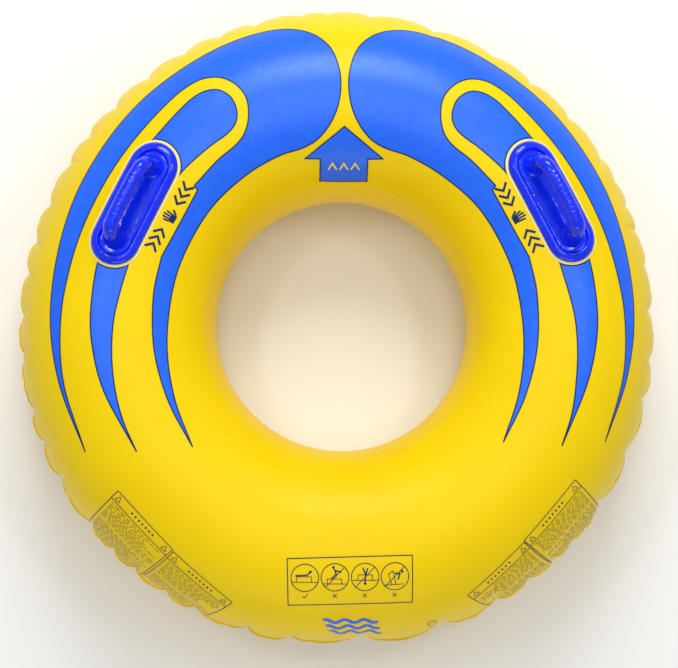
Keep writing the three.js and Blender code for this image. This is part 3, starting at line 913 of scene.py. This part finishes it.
def eased(corners, radius=0.35, closed=True):
    """A profile of (radius, height) corners with each corner rounded off."""
    p = [np.array(c, float) for c in corners]
    out = [] if closed else [p[0]]
    for i in range(0 if closed else 1, len(p) if closed else len(p) - 1):
        here, before, after = p[i], p[i - 1], p[(i + 1) % len(p)]
        back, ahead = before - here, after - here
        reach = min(radius, 0.45 * np.linalg.norm(back), 0.45 * np.linalg.norm(ahead))
        start, end = here + back / np.linalg.norm(back) * reach, here + ahead / np.linalg.norm(ahead) * reach
        for t in (0, 0.33, 0.67, 1):
            out.append(start * (1 - t) ** 2 + here * 2 * t * (1 - t) + end * t**2)
    return out if closed else out + [p[-1]]


def ring_row(radius, height, bend):
    """One ring of points about the valve's axis, bent with the skin if bend says up to what height."""
    points = np.stack([radius * np.cos(TURNS), radius * np.sin(TURNS), height + 0 * TURNS], -1) * MM
    return straight(points, VALVE) if bend is None else laid(points, VALVE, *bend)


def turned(profile, closed=True, bend=None):
    """A profile turned about the valve's axis. A radius may be one number or one for each side."""
    return grid([ring_row(r, h, bend) for r, h in profile], closed)


def threaded(radius, low, high):
    """Profile rows of a right-hand screw thread, which fades in and out at its ends."""
    rows = []
    for height in np.arange(low, high, 0.3):
        phase = (height / THREAD_PITCH - TURNS / TAU) % 1
        crest = np.clip(1.6 - 3.2 * np.abs(phase - 0.5) * 2, 0, 1)
        fade = max(0, min(1, (height - low) / 1.5, (high - height) / 1.5))
        rows.append((radius - THREAD_DEPTH / 2 + THREAD_DEPTH * fade * crest, height))
    return rows


def block(across, tall, turn):
    """A bar that leaves the axis at an angle: (from, to), width 2 mm and (bottom, top)."""
    c, s = math.cos(turn), math.sin(turn)
    points = [(x * c - y * s, x * s + y * c, z) for z in tall for x, y in
              ((across[0], -1), (across[1], -1), (across[1], 1), (across[0], 1))]
    return straight(np.array(points) * MM, VALVE), [(0, 1, 2, 3), (4, 5, 6, 7), *(
        (i, (i + 1) % 4, 4 + (i + 1) % 4, 4 + i) for i in range(4))]


def make_valve():
    """Every piece of the valve, from the patch on the skin out to the cap."""
    radii = [15.2, 20, 26, 32, 38, 42]
    patch = [(r, 0.4) for r in radii] + [(42.2, 0.8)] + [(r, 1.2) for r in reversed(radii)]
    patch = assembled("valve_patch_shown", turned(patch, bend=()))
    show(patch, PALE_YELLOW_AND_PAINTED_HIGHLIGHT, "ring", "yellow_vinyl", "valve_patch")
    base = [
        (14.6, 1.5), (24, 1.5), (34, 1.5), (34, 2.3), (30, 3.2), (20.5, 3.8), (18.2, 5.5), (18.2, 12), (14.6, 12),
    ]
    base = turned(eased(base), bend=(4 * MM, 8 * MM))
    show(assembled("valve_base_shown", base), WHITE_PLASTIC, "ring", "valve_plastic", "valve_base")
    gasket = turned(eased([(14.6, 12.3), (17.6, 12.3), (17.6, 13.5), (14.6, 13.5)]))
    show(assembled("valve_gasket_shown", gasket), BLACK_RUBBER, "gasket", "seal_rubber", "valve_gasket")

    barrel = [(9.5, -9.3), (13.2, -9.3), *threaded(13.75, -9, 11), (13.4, 11.2), (13.4, 13.8)]
    flange = [(17.3, 13.8), (17.6, 14.1), (17.6, 15.7), (17.3, 16)]
    nozzle = [(12.6, 16), (12.6, 17), *threaded(12.9, 17.2, 25)]
    mouth = [(12.5, 25.2), (12.2, 26), (9.9, 26), (9.5, 25.6)]
    spider = turned(eased([(2.3, -5), (4.4, -5), (4.4, -3), (2.3, -3)], 0.2))
    arms = [block((4, 9.9), (-5, -3), turn) for turn in (0, TAU / 3, 2 * TAU / 3)]
    insert = assembled("valve_insert_shown", turned(barrel + flange + nozzle + mouth), spider, *arms)
    show(insert, WHITE_PLASTIC, "insert", "valve_plastic", "valve_insert")
    flap = [(0, -10.8), (12, -10.8), (12, -9.6), (1.6, -9.6), (1.6, 0.3), (3.1, 0.3), (2.4, 2.1), (0, 2.1)]
    flap = eased(flap, 0.3, False)
    show(assembled("valve_flap_shown", turned(flap, False)), BLACK_RUBBER, "flap", "seal_rubber", "valve_flap")

    collar = turned(eased([(13.5, 16.3), (18.6, 16.3), (18.6, 17.9), (13.5, 17.9)]))
    show(assembled("tether_collar_shown", collar), WHITE_PLASTIC, "insert", "valve_plastic", "tether_collar")
    hoop = turned(eased([(4.6, 30.3), (9.5, 30.3), (9.5, 32.3), (4.6, 32.3)]))
    hoop = assembled("tether_cap_ring_shown", hoop)
    show(hoop, WHITE_PLASTIC, "cap_ring", "valve_plastic", "tether_cap_ring")

    flutes = 0.5 * np.cos(18 * TURNS)
    inside = [(0, 27.6), (13.7, 27.6), (13.7, 18.5)]
    outside = [
        (13.9, 18.2), (17.0, 18.2), (17.4 + flutes / 2, 18.6), (17.6 + flutes, 19.4), (17.6 + flutes, 28.4),
        (17.2 + flutes / 2, 29.4), (16.4, 30),
    ]
    button = eased([(16, 30), (4, 30), (4, 32.6), (6.2, 32.6), (6.2, 34.4), (0, 34.4)], 0.4, False)
    cap = turned(inside + outside + button, False)
    show(assembled("valve_cap_shown", cap, crisp=40), WHITE_PLASTIC, "cap", "valve_plastic", "valve_cap")
    seal = turned(eased([(0, 26.3), (13, 26.3), (13, 27.3), (0, 27.3)], 0.25, False), False)
    show(assembled("cap_seal_shown", seal), BLACK_RUBBER, "cap", "seal_rubber", "cap_seal")
    make_strap()


def make_strap():
    """The soft strap from the collar to the cap's ring."""
    route = [(18.3, 17.1), (22, 17.3), (26.2, 20), (26.5, 25), (23, 29.4), (16, 31.3), (9.2, 31.3)]
    line = smooth_line(route, 0.5)
    ahead = np.gradient(line, axis=0)
    ahead /= np.linalg.norm(ahead, axis=1)[:, None]
    half = [(3.5, 0.4), (3.1, 0.8), (-3.1, 0.8), (-3.5, 0.4)]
    band = half + [(-v, -t) for v, t in half]  # across and through the strap
    rows = []
    for (u, w), (du, dw) in zip(line, ahead):
        rows.append(straight(np.array([(u - dw * t, v, w + du * t) for v, t in band]) * MM, VALVE))
    ends = [np.full((len(band), 3), rows[end].mean(0)) for end in (0, -1)]
    strap = assembled("tether_strap_shown", grid([ends[0], *rows, ends[1]]))
    strap.data.materials.append(WHITE_PLASTIC)
    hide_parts("tether_strap")
    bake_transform(strap)


# ---- Camera, light and floor

CAMERA_DISTANCE = 3.6
CAMERA_TILTS = np.radians([1.8, 3.6])  # from the vertical, towards the ring's left and its rear
FLOOR_REACH = 12


def look_at(obj, target, up=(0, 1, 0)):
    """Turns an object's -Z to a target, with its Y as near to up as it goes."""
    back = (obj.location - Vector(target)).normalized()
    right = Vector(up).cross(back).normalized()
    turn = Matrix((right, back.cross(right), back)).transposed()
    obj.matrix_world = Matrix.Translation(obj.location) @ turn.to_4x4()


def make_camera():
    """Almost straight over the ring, a little towards its rear and its left."""
    centre = Vector((0, 0, EQUATOR))
    away = Vector((*-np.tan(CAMERA_TILTS), 1)).normalized()
    data = bpy.data.cameras.new("camera")
    camera = bpy.data.objects.new("camera", data)
    bpy.context.scene.collection.objects.link(camera)
    camera.location = centre + away * CAMERA_DISTANCE
    look_at(camera, centre)
    data.sensor_width = 36
    data.lens = 99.75
    data.shift_x = -0.0039
    data.shift_y = -0.0118
    bpy.context.scene.camera = camera


def add_light(name, place, width, depth, power, target=(0, 0, 0.2)):
    """A rectangular soft box that faces a target."""
    data = bpy.data.lights.new(name, "AREA")
    data.shape = "RECTANGLE"
    data.size = width
    data.size_y = depth
    data.energy = power
    light = bpy.data.objects.new(name, data)
    bpy.context.scene.collection.objects.link(light)
    light.location = place
    look_at(light, target)


def make_studio():
    """A white world, soft boxes and a pale floor."""
    world = bpy.data.worlds.new("studio")
    bpy.context.scene.world = world
    world.use_nodes = True
    background = world.node_tree.nodes["Background"]
    background.inputs["Color"].default_value = (1, 1, 1, 1)
    background.inputs["Strength"].default_value = 0.41
    add_light("key", (0.1, 3.2, 3.2), 2.2, 1.8, 104)
    add_light("overhead", (0, 0.2, 4.6), 1.1, 3.2, 32)
    add_light("rear", (0, -3.6, 1.7), 3.0, 1.0, 20)
    for side in (-1, 1):
        add_light("glint", (side * 1.5, 0.6, 3.6), 0.4, 0.7, 10)
    corners = [(x * FLOOR_REACH, y * FLOOR_REACH, 0) for x, y in ((-1, -1), (1, -1), (1, 1), (-1, 1))]
    floor = new_object("floor", corners, [(0, 1, 2, 3)])
    floor.location.z = -0.5 * MM
    floor.data.materials.append(Look("floor", Roughness=0.8, Base_Color=(0.95, 0.95, 0.95, 1)).material)
    bpy.context.scene.view_settings.view_transform = "Standard"


make_camera()
make_studio()
make_sheet("upper_skin", 1)
cut_port(make_sheet("lower_skin", -1), VALVE)
make_inner_wall()
for side, place in HANDLE_PLACES.items():
    make_handle_patch(side, place)
    make_handle_base(side, place)
    make_handle_grip(side, place)
make_swooshes()
make_arrow()
make_hand_labels()
make_ruled_panels()
make_picture_panel()
make_wave_mark()
make_valve()
